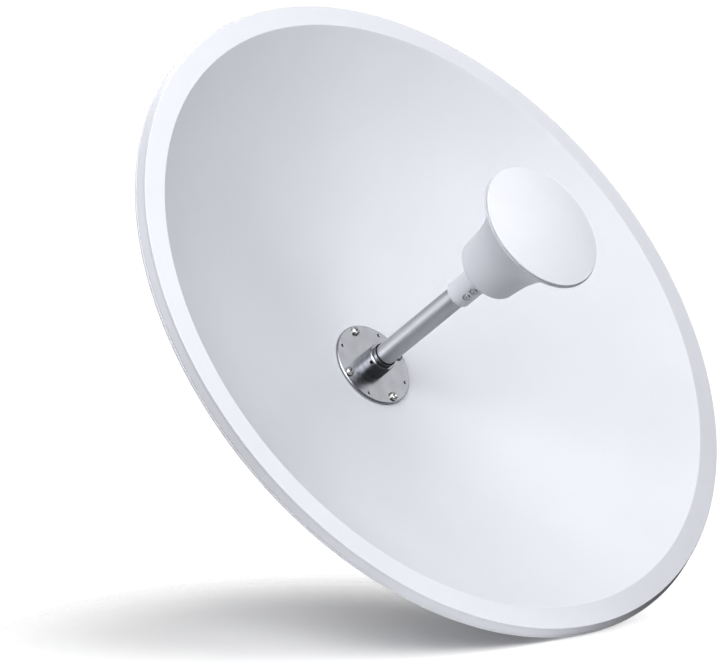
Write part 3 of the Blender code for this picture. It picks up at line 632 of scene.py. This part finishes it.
cutters += [drill(screw_clearance, -7.0, 1.0, x, y) for x, y in screw_spots]
bpy.context.view_layer.update()
drilled(hub, cutters)
fit(hub, dish_frame, coated_casting, "powder_coat", "rear_hub")


# The feed's rear housing: turned aluminium, bolted to the hub, with two turned grooves and a lid held
# by four small socket screws.

# Clear anodised aluminium: a soft silver, a little lighter than steel, with the fine lines of the
# tool round it. They are 0.1 mm apart in fact and drawn 0.5 mm apart, so that they just show.
turned_aluminium, tree = material("turned_aluminium_clear_anodised")
place = add(tree, "TexCoord", {}).outputs["Object"]
streak = add(tree, "Mapping", {"Vector": place, "Scale": (0.04, 0.04, 1.0)})
lines = add(tree, "TexNoise", {
    "Vector": streak.outputs["Vector"], "Scale": 1.0 / (0.5 * MM), "Detail": 3.0,
})
cloud = add(tree, "TexNoise", {"Vector": place, "Scale": 1.0 / (11.0 * MM), "Detail": 4.0})
tint = add(tree, "ValToRGB", {"Fac": cloud.outputs["Fac"]})
tint.color_ramp.elements[0].color = linear("#BFC1C4")
tint.color_ramp.elements[1].color = linear("#D0D2D4")
gloss = add(tree, "MapRange", {"Value": lines.outputs["Fac"], "To Min": 0.26, "To Max": 0.40})
relief = add(tree, "Bump", {"Height": lines.outputs["Fac"], "Strength": 0.08, "Distance": 0.05 * MM})
shader = add(tree, "BsdfPrincipled", {
    "Base Color": tint.outputs["Color"], "Metallic": 1.0, "Roughness": gloss.outputs["Result"],
    "Normal": relief.outputs["Normal"],
})
add(tree, "OutputMaterial", {"Surface": shader.outputs["BSDF"]})

housing_radius = 20.0
housing_rear = -46.0
housing_front = -10.35
lid_seam = housing_radius - 0.5
groove = housing_radius - 1.2
tube_clearance = tube_back - 0.25
housing = turned("feed_housing", rounded([
    (0.0, housing_rear, 0.0), (housing_radius, housing_rear, 2.0), (housing_radius, -42.0, 0.1),
    (lid_seam, -41.8, 0.1), (lid_seam, -41.2, 0.1), (housing_radius, -41.0, 0.1),
    (housing_radius, -27.0, 0.3), (groove, -26.0, 0.3), (groove, -24.0, 0.3), (housing_radius, -23.0, 0.3),
    (housing_radius, -19.0, 0.3), (groove, -18.0, 0.3), (groove, -16.0, 0.3), (housing_radius, -15.0, 0.3),
    (housing_radius, housing_front, 0.3), (bore_for_feed, housing_front, 0.0),
    (bore_for_feed, tube_clearance, 0.0), (0.0, tube_clearance, 0.0),
], steps=4), 128, looped=False)
lid_circle = 16.2
lid_turns = [math.radians(45.0 + 90.0 * quarter) for quarter in range(4)]
lid_spots = [(lid_circle * math.cos(a), lid_circle * math.sin(a)) for a in lid_turns]
lid_screw_floor = -44.0
cutters = [drill(1.9, -47.0, lid_screw_floor, x, y) for x, y in lid_spots]
bpy.context.view_layer.update()
drilled(housing, cutters)
fit(housing, dish_frame, turned_aluminium, "brushed_metal", "feed_rear_housing")
for index, (x, y) in enumerate(lid_spots):
    screw = turned(f"lid_screw_{index + 1}", rounded([
        (0.0, 0.0, 0.0), (1.75, 0.0, 0.2), (1.75, 1.7, 0.3), (0.0, 1.7, 0.0)]), 40, looped=False)
    drilled(screw, [socket_cutter(0.7, 2.5)])
    flip = Matrix.Rotation(math.pi, 4, "X")
    place = dish_frame @ Matrix.Translation(Vector((x, y, lid_screw_floor)) * MM) @ flip
    fit(screw, place, black_oxide, "bright_steel")

# The two feed ports: coaxial sockets with a hexagon flange and a threaded neck, each closed by a
# nickel-plated dust cap whose fluted rim gives grip.
port_segments = 144
port_apart = 8.5
flute_depth = 0.16
flute_count = 24.0


def hexagon_reach(corner, angle):
    """The radius of a hexagon's side at an angle round it, from its corner radius."""
    return corner * math.cos(math.pi / 6.0) / math.cos(angle % (math.pi / 3.0) - math.pi / 6.0)


def thread_reach(crest, depth, pitch, height, angle):
    """The radius of a screw thread's skin at a height and an angle round it."""
    phase = (height / pitch - angle / (2.0 * math.pi)) % 1.0
    return crest - depth * abs(2.0 * phase - 1.0)


for index, side in enumerate((-1.0, 1.0)):
    rings = [[(0.0, 0.0, 0.0)]]
    angles = [2.0 * math.pi * k / port_segments for k in range(port_segments)]
    levels = [(0.0, "hexagon", 5.7), (0.25, "hexagon", 6.0), (2.6, "hexagon", 6.0), (3.0, "hexagon", 5.6)]
    levels += [(3.0, "round", 3.9)]
    levels += [(3.0 + 0.1 * k, "thread", 4.15) for k in range(21)]
    levels += [(5.0, "round", 4.6), (5.3, "flutes", 4.9), (5.6, "flutes", 5.2), (11.4, "flutes", 5.2)]
    levels += [(11.9, "flutes", 4.9), (12.0, "round", 4.5), (13.6, "round", 4.4), (14.0, "round", 4.0)]
    for height, shape, radius in levels:
        ring = []
        for a in angles:
            reach = radius
            if shape == "hexagon":
                reach = hexagon_reach(radius, a)
            elif shape == "thread":
                reach = thread_reach(radius, 0.4, 0.6, height, a)
            elif shape == "flutes":
                reach = radius - flute_depth * (1.0 + math.cos(flute_count * a))
            ring.append((reach * math.cos(a) * MM, reach * math.sin(a) * MM, height * MM))
        rings.append(ring)
    rings.append([(0.0, 0.0, 14.0 * MM)])
    port = skinned(f"feed_port_{index + 1}", rings)
    place = dish_frame @ Matrix.Translation(Vector((side * port_apart, 0.0, housing_rear - 0.3)) * MM)
    place = place @ Matrix.Rotation(math.pi, 4, "X")
    fit(port, place, bright_plate, "bright_steel", f"rf_port_{index + 1}")


# The tilt bracket: 3 mm sheet steel, cut, folded into a channel on the hub and zinc plated. Two ears
# reach back and down to the pivot and up to the lock bolts.

# Zinc plate over sheet steel: a cool grey metal with faint crystal patches 5 mm across, duller where
# it was handled.
zinc_sheet, tree = material("zinc_plated_sheet_steel")
place = add(tree, "TexCoord", {}).outputs["Object"]
patch = add(tree, "TexVoronoi", {"Vector": place, "Scale": 1.0 / (5.0 * MM), "Randomness": 1.0})
cloud = add(tree, "TexNoise", {"Vector": place, "Scale": 1.0 / (24.0 * MM), "Detail": 5.0})
tone = add(tree, "Math", {0: patch.outputs["Color"], 1: cloud.outputs["Fac"]}, operation="MULTIPLY")
tint = add(tree, "ValToRGB", {"Fac": tone.outputs["Value"]})
tint.color_ramp.elements[0].color = linear("#9FA3A8")
tint.color_ramp.elements[1].color = linear("#C3C6CA")
gloss = add(tree, "MapRange", {"Value": cloud.outputs["Fac"], "To Min": 0.28, "To Max": 0.48})
relief = add(tree, "Bump", {"Height": cloud.outputs["Fac"], "Strength": 0.06, "Distance": 0.1 * MM})
shader = add(tree, "BsdfPrincipled", {
    "Base Color": tint.outputs["Color"], "Metallic": 1.0, "Roughness": gloss.outputs["Result"],
    "Normal": relief.outputs["Normal"],
})
add(tree, "OutputMaterial", {"Surface": shader.outputs["BSDF"]})

steel = 3.0
inner_bend = 2.0


def channel(name, half_width, deep, low, high):
    """A folded channel along Y: its web's outer face at height 0, its legs down, from low to high."""
    outline = rounded([
        (-half_width, -deep, 0.0), (-half_width, 0.0, inner_bend + steel),
        (half_width, 0.0, inner_bend + steel), (half_width, -deep, 0.0),
        (half_width - steel, -deep, 0.0), (half_width - steel, -steel, inner_bend),
        (steel - half_width, -steel, inner_bend), (steel - half_width, -deep, 0.0),
    ], steps=10)
    return skinned(name, [[(p.x, y * MM, p.y) for p in outline] for y in (low, high)])


def arc(centre, radius, start, end, steps):
    """Corners on an arc in mm, with angles in degrees, to stand in an outline."""
    turns = [math.radians(start + (end - start) * k / steps) for k in range(steps + 1)]
    return [(centre[0] + radius * math.cos(a), centre[1] + radius * math.sin(a), 0.0) for a in turns]


def side_cutter(outline, reach):
    """A prism across X from an outline of (y, z) in mm."""
    points = rounded(outline)
    return skinned("side_cutter", [[(x * MM, p.x, p.y) for p in points] for x in (-reach, reach)])


def eased(piece, width):
    """Rounds the cut edges of sheet metal a little, as deburring does."""
    bevel = piece.modifiers.new("deburred", "BEVEL")
    bevel.width = width * MM
    bevel.segments = 2
    bevel.limit_method = "ANGLE"
    bevel.angle_limit = math.radians(40.0)
    shape = bpy.context.evaluated_depsgraph_get()
    soft = bpy.data.meshes.new_from_object(piece.evaluated_get(shape))
    piece.modifiers.clear()
    piece.data = soft
    soft.shade_smooth()
    soft.set_sharp_from_angle(angle=crease)


tilt_front = hub_rear - 0.3
tilt_rear = tilt_front - steel
pivot = (34.0, -78.0)
lock = (70.0, -78.0)
tilt_half_long = 52.0
tilt_half_width = 36.0
bolt_clearance = 4.3
deburr = 0.35
outline = [(-tilt_half_long, 0.0, 2.0), (-tilt_half_long, -11.0, 6.0)]
outline += arc((pivot[0], pivot[1] - tilt_front), 17.0, 205.0, 270.0, 12)
outline += arc((lock[0], lock[1] - tilt_front), 11.0, 270.0, 395.0, 20)
outline += [(tilt_half_long, -17.0, 12.0), (tilt_half_long, 0.0, 2.0)]
tilt_bracket = channel("tilt_channel", tilt_half_width, 90.0, -60.0, 90.0)
drilled(tilt_bracket, [side_cutter(outline, 60.0)], "INTERSECT")
cutters = [drill(23.0, -6.0, 2.0, 0.0, 0.0)]
cutters += [drill(bolt_clearance, -6.0, 2.0, x, y) for x, y in bolt_spots]
for centre in (pivot, lock):
    ring = arc((centre[0], centre[1] - tilt_front), bolt_clearance, 0.0, 354.0, 59)
    cutters.append(side_cutter(ring, 60.0))
bpy.context.view_layer.update()
drilled(tilt_bracket, cutters)
eased(tilt_bracket, deburr)
place = dish_frame @ Matrix.Translation((0.0, 0.0, tilt_front * MM))
fit(tilt_bracket, place, zinc_sheet, "zinc_steel", "tilt_bracket")


# Bolts and nuts: M8 hexagon bolts and flange nuts of steel, cold formed, with rolled threads. Four
# short bolts hold the tilt bracket to the hub.

# Bright zinc plate over steel: softer than nickel, slightly blue, with fine forming marks.
zinc_bolt, tree = material("bright_zinc_plated_steel")
place = add(tree, "TexCoord", {}).outputs["Object"]
marks = add(tree, "TexNoise", {"Vector": place, "Scale": 1.0 / (2.2 * MM), "Detail": 5.0, "Roughness": 0.65})
tint = add(tree, "ValToRGB", {"Fac": marks.outputs["Fac"]})
tint.color_ramp.elements[0].color = linear("#B3B7BC")
tint.color_ramp.elements[1].color = linear("#CED1D5")
gloss = add(tree, "MapRange", {"Value": marks.outputs["Fac"], "To Min": 0.18, "To Max": 0.36})
relief = add(tree, "Bump", {"Height": marks.outputs["Fac"], "Strength": 0.08, "Distance": 0.06 * MM})
shader = add(tree, "BsdfPrincipled", {
    "Base Color": tint.outputs["Color"], "Metallic": 1.0, "Roughness": gloss.outputs["Result"],
    "Normal": relief.outputs["Normal"],
})
add(tree, "OutputMaterial", {"Surface": shader.outputs["BSDF"]})

bolt_radius = 3.97
bore_radius = 4.15
thread_pitch = 1.25
thread_depth = 0.55
point_chamfer = 0.8
hexagon_corner = 6.9
hexagon_top = 6.2
washer_radius = 8.4
washer_high = 1.5
hexagon_segments = 72


def hexagon_rings(low, high):
    """Rings of a hexagon head from low to high, its upper corners turned off at 30 degrees."""
    rings = []
    angles = [2.0 * math.pi * k / hexagon_segments for k in range(hexagon_segments)]
    for height in [low] + [high - 0.13 * k for k in range(5, -1, -1)]:
        limit = hexagon_corner * 0.84 + (high - height) * math.sqrt(3.0)
        reach = [min(hexagon_reach(hexagon_corner, a), limit) for a in angles]
        turns = zip(reach, angles)
        rings.append([(r * math.cos(a) * MM, r * math.sin(a) * MM, height * MM) for r, a in turns])
    return rings


def round_rings(levels, threads=False):
    """Round rings from (radius, height) pairs in mm, or rings of a thread whose crest has that radius."""
    rings = []
    for radius, height in levels:
        ring = []
        for k in range(hexagon_segments):
            a = 2.0 * math.pi * k / hexagon_segments
            reach = thread_reach(radius, thread_depth, thread_pitch, height, a) if threads else radius
            ring.append((reach * math.cos(a) * MM, reach * math.sin(a) * MM, height * MM))
        rings.append(ring)
    return rings


def hex_bolt(name, long, thread_long):
    """A hexagon bolt along Z with its washer face at height 0 and its shank down to -long."""
    rings = [[(0.0, 0.0, -long * MM)]] + round_rings([(bolt_radius - point_chamfer, -long)])
    steps = int(thread_long / thread_pitch * 6)
    crests = [(bolt_radius, 0.5 - long + thread_pitch * k / 6) for k in range(steps)]
    rings += round_rings(crests, threads=True)
    rings += round_rings([
        (bolt_radius, thread_long + 0.7 - long), (bolt_radius, 0.0), (washer_radius - 0.25, 0.0),
        (washer_radius, 0.25), (washer_radius, washer_high - 0.25), (washer_radius - 0.25, washer_high),
    ])
    rings += hexagon_rings(washer_high, hexagon_top)
    rings.append([(0.0, 0.0, hexagon_top * MM)])
    return skinned(name, rings)


def hex_nut(name):
    """A hexagon nut on its washer, along Z with its bearing face at height 0, open right through."""
    rings = round_rings([
        (bore_radius, 0.3), (bore_radius + 0.3, 0.0), (washer_radius - 0.25, 0.0), (washer_radius, 0.25),
        (washer_radius, washer_high - 0.25), (washer_radius - 0.25, washer_high),
    ])
    rings += hexagon_rings(washer_high, hexagon_top)
    rings += round_rings([(bore_radius + 0.5, hexagon_top), (bore_radius, hexagon_top - 0.5)])
    return skinned(name, rings, looped=True)


for index, (x, y) in enumerate(bolt_spots):
    bolt = hex_bolt(f"hub_hex_bolt_{index + 1}", 7.0, 3.0)
    place = Matrix.Translation(Vector((x, y, tilt_rear - 0.3)) * MM) @ Matrix.Rotation(math.pi, 4, "X")
    spin = Matrix.Rotation(math.radians(17.0 + 23.0 * index), 4, "Z")
    fit(bolt, dish_frame @ place @ spin, zinc_bolt, "bright_steel", f"hub_bolt_{index + 1}")


# The pole bracket: 3 mm sheet steel folded into a channel, with the pivot hole and a curved lock slot
# in each cheek and four holes for the U-bolts in its web. Its web's face bears on the pole.
pole_pivot = (0.0, -58.0)
slot_radius = 36.0
slot_start = 188.0
slot_end = 130.0
pole_half_long = 58.0
pole_half_width = 39.3
outline = [(pole_half_long, 0.0, 4.0), (-pole_half_long, 0.0, 4.0), (-pole_half_long, -12.0, 5.0)]
outline += arc(pole_pivot, 47.0, 152.0, 194.0, 16)
outline += arc(pole_pivot, 19.0, 240.0, 360.0, 20)
outline += [(pole_half_long, -12.0, 5.0)]
pole_bracket = channel("pole_channel", pole_half_width, 90.0, -70.0, 70.0)
drilled(pole_bracket, [side_cutter(outline, 60.0)], "INTERSECT")
first_end = arc(pole_pivot, slot_radius, slot_end, slot_end, 1)[0]
last_end = arc(pole_pivot, slot_radius, slot_start, slot_start, 1)[0]
slot = arc(pole_pivot, slot_radius + bolt_clearance, slot_start, slot_end, 16)
slot += arc(first_end, bolt_clearance, slot_end, slot_end - 180.0, 12)[1:-1]
slot += arc(pole_pivot, slot_radius - bolt_clearance, slot_end, slot_start, 16)
slot += arc(last_end, bolt_clearance, slot_start + 180.0, slot_start, 12)[1:-1]
cutters = [side_cutter(slot, 60.0)]
cutters.append(side_cutter(arc(pole_pivot, bolt_clearance, 0.0, 354.0, 59), 60.0))
leg_spots = [(x, y) for x in (-27.0, 27.0) for y in (-38.0, 38.0)]
cutters += [drill(bolt_clearance, -6.0, 2.0, x, y) for x, y in leg_spots]
bpy.context.view_layer.update()
drilled(pole_bracket, cutters)
eased(pole_bracket, deburr)
fit(pole_bracket, Matrix.Rotation(math.radians(-90.0), 4, "X"), zinc_sheet, "zinc_steel", "pole_bracket")


# Pivot and lock bolts: one of each through both sheets on each side, with the nuts between the ears.
over = Vector((0.0, math.sin(elevation), math.cos(elevation)))
pivot_point = Vector((0.0, -58.0, 0.0))
for word, point in (("pivot", pivot_point), ("tilt_lock", pivot_point + over * slot_radius)):
    for side, label in ((-1.0, "left"), (1.0, "right")):
        spin = Matrix.Rotation(math.radians(11.0 + 19.0 * side), 4, "Z")
        turn = Matrix.Rotation(side * math.radians(90.0), 4, "Y")
        bolt = hex_bolt(f"{word}_hex_bolt_{label}", 13.4, 8.0)
        place = Matrix.Translation((point + Vector((side * 39.6, 0.0, 0.0))) * MM) @ turn @ spin
        fit(bolt, place, zinc_bolt, "bright_steel", f"{word}_bolt_{label}")
        nut = hex_nut(f"{word}_hex_nut_{label}")
        place = Matrix.Translation((point + Vector((side * 32.7, 0.0, 0.0))) * MM) @ turn.inverted() @ spin
        fit(nut, place, zinc_bolt, "bright_steel", f"{word}_nut_{label}")


# U-bolts: round bar bent round the pole's place, with a rolled thread on both legs, each leg held by
# a nut in front of the bracket's web.
leg_place = 27.0
leg_end = -15.95
leg_straight = 24.0
thread_end = 9.0
bar_segments = 40
leg_steps = int((thread_end - leg_end) / thread_pitch * 6)
for word, height in (("lower", -38.0), ("upper", 38.0)):
    rings = []
    path = [(leg_end, bolt_radius - point_chamfer, False)]
    path += [(leg_end + 0.5 + thread_pitch * k / 6, bolt_radius, True) for k in range(leg_steps)]
    path += [(thread_end + 1.0, bolt_radius, False)]
    stations = [(Vector((-leg_place, y)), 0.0, radius, cut) for y, radius, cut in path]
    for step in range(33):
        angle = math.pi * step / 32
        centre = Vector((-math.cos(angle), math.sin(angle))) * leg_place + Vector((0.0, leg_straight))
        stations.append((centre, angle, bolt_radius, False))
    stations += [(Vector((leg_place, y)), math.pi, radius, cut) for y, radius, cut in reversed(path)]
    for centre, angle, radius, cut in stations:
        ring = []
        for k in range(bar_segments):
            a = 2.0 * math.pi * k / bar_segments
            reach = thread_reach(radius, thread_depth, thread_pitch, centre.y, a) if cut else radius
            along = reach * math.cos(a)
            x = centre.x + along * math.cos(angle)
            y = centre.y - along * math.sin(angle)
            ring.append((x * MM, y * MM, (height + reach * math.sin(a)) * MM))
        rings.append(ring)
    bar = skinned(f"u_bolt_bar_{word}", rings)
    fit(bar, Matrix.Identity(4), zinc_bolt, "bright_steel", f"u_bolt_{word}")
    for side, label in ((-1.0, "left"), (1.0, "right")):
        spin = Matrix.Rotation(math.radians(height + 31.0 * side), 4, "Z")
        nut = hex_nut(f"u_bolt_hex_nut_{word}_{label}")
        place = Matrix.Translation(Vector((side * leg_place, -3.3, height)) * MM)
        place = place @ Matrix.Rotation(math.radians(90.0), 4, "X") @ spin
        fit(nut, place, zinc_bolt, "bright_steel", f"u_bolt_nut_{word}_{label}")


# The floor: a pale matte studio floor under the rim's lowest point, which fades out into the white
# backdrop all round, as in the photo. The fade is an oval, 0.76 m wide and 0.86 m deep as seen by
# the camera.
floor_paint, tree = material("matte_floor_paint")
fade_right = 0.06
fade_near = 0.38
fade_half_wide = 0.38
fade_half_deep = 0.43
place = add(tree, "TexCoord", {}).outputs["Object"]
oval = add(tree, "Mapping", {
    "Vector": place, "Location": (-fade_right / fade_half_wide, fade_near / fade_half_deep, 0.0),
    "Scale": (1.0 / fade_half_wide, 1.0 / fade_half_deep, 1.0),
})
reach = add(tree, "VectorMath", {0: oval.outputs["Vector"]}, operation="LENGTH")
fade = add(tree, "MapRange", {"Value": reach.outputs["Value"], "From Min": 0.45, "From Max": 1.0},
           interpolation_type="SMOOTHSTEP")
wear = add(tree, "TexNoise", {"Vector": place, "Scale": 6.0, "Detail": 3.0})
tint = add(tree, "ValToRGB", {"Fac": wear.outputs["Fac"]})
tint.color_ramp.elements[0].color = linear("#EEEEEE")
tint.color_ramp.elements[1].color = linear("#F2F2F2")
paint = add(tree, "BsdfDiffuse", {"Color": tint.outputs["Color"]})
clear = add(tree, "BsdfTransparent", {})
blend = add(tree, "MixShader", {
    0: fade.outputs["Result"], 1: paint.outputs["BSDF"], 2: clear.outputs["BSDF"],
})
add(tree, "OutputMaterial", {"Surface": blend.outputs["Shader"]})
floor_mesh = bpy.data.meshes.new("floor")
half = 1.2
corners = [(-half, -half, 0.0), (half, -half, 0.0), (half, half, 0.0), (-half, half, 0.0)]
floor_mesh.from_pydata(corners, [], [(0, 1, 2, 3)])
floor = bpy.data.objects.new("floor", floor_mesh)
bpy.context.scene.collection.objects.link(floor)
floor.location = (0.0, 0.0, cad_box[0].z - 0.0005)
floor.rotation_euler = (0.0, 0.0, view_azimuth)
floor_mesh.materials.append(floor_paint)


# The backdrop: a white dome all round, far behind everything, that the camera sees as plain white.
# It lights nothing and shows in no reflection, so the lamps alone shape the antenna.
white, tree = material("white_backdrop")
glow = add(tree, "Emission", {"Color": linear("#FFFFFF"), "Strength": 1.05})
add(tree, "OutputMaterial", {"Surface": glow.outputs["Emission"]})
data = bmesh.new()
bmesh.ops.create_uvsphere(data, u_segments=32, v_segments=16, radius=20.0)
dome_mesh = bpy.data.meshes.new("backdrop")
data.to_mesh(dome_mesh)
data.free()
dome_mesh.materials.append(white)
dome = bpy.data.objects.new("backdrop", dome_mesh)
bpy.context.scene.collection.objects.link(dome)
dome.visible_diffuse = False
dome.visible_glossy = False
dome.visible_transmission = False
dome.visible_shadow = False


# The studio's air: a faint even light from all sides, thrown back by the walls of the room.
world = bpy.data.worlds.new("studio_air")
bpy.context.scene.world = world
world.use_nodes = True
world.node_tree.nodes["Background"].inputs["Color"].default_value = (1.0, 1.0, 1.0, 1.0)
world.node_tree.nodes["Background"].inputs["Strength"].default_value = 0.13


# The lamps: square softboxes round the antenna, each turned towards its middle. Their azimuths are
# measured from the camera's side, with the right of the picture at 90 degrees.
aim = Vector((0.0, -0.25, 0.05))
view_right = Vector((math.cos(view_azimuth), math.sin(view_azimuth), 0.0))
view_near = Vector((math.sin(view_azimuth), -math.cos(view_azimuth), 0.0))
for name, azimuth, height, reach, size, watts in (
    ("key_softbox", -50.0, 45.0, 2.4, 1.8, 19.0),
    ("near_left_softbox", -25.0, 30.0, 2.4, 1.6, 21.0),
    ("near_softbox", 10.0, 30.0, 2.6, 1.6, 16.0),
    ("right_softbox", 60.0, 40.0, 2.4, 1.6, 14.5),
    ("right_low_softbox", 65.0, 15.0, 2.4, 1.4, 7.5),
    ("right_high_softbox", 108.0, 38.0, 2.4, 1.3, 6.0),
    ("overhead_softbox", 60.0, 75.0, 2.2, 1.8, 15.5),
    ("back_left_softbox", -150.0, 15.0, 2.4, 1.2, 32.0),
):
    light = bpy.data.lights.new(name, "AREA")
    light.shape = "SQUARE"
    light.size = size
    light.energy = watts
    lamp = bpy.data.objects.new(name, light)
    bpy.context.scene.collection.objects.link(lamp)
    turn, lift = math.radians(azimuth), math.radians(height)
    flat = view_right * math.sin(turn) + view_near * math.cos(turn)
    lamp.location = aim + (flat * math.cos(lift) + Vector((0.0, 0.0, math.sin(lift)))) * reach
    lamp.rotation_mode = "QUATERNION"
    lamp.rotation_quaternion = (aim - lamp.location).to_track_quat("-Z", "Y")
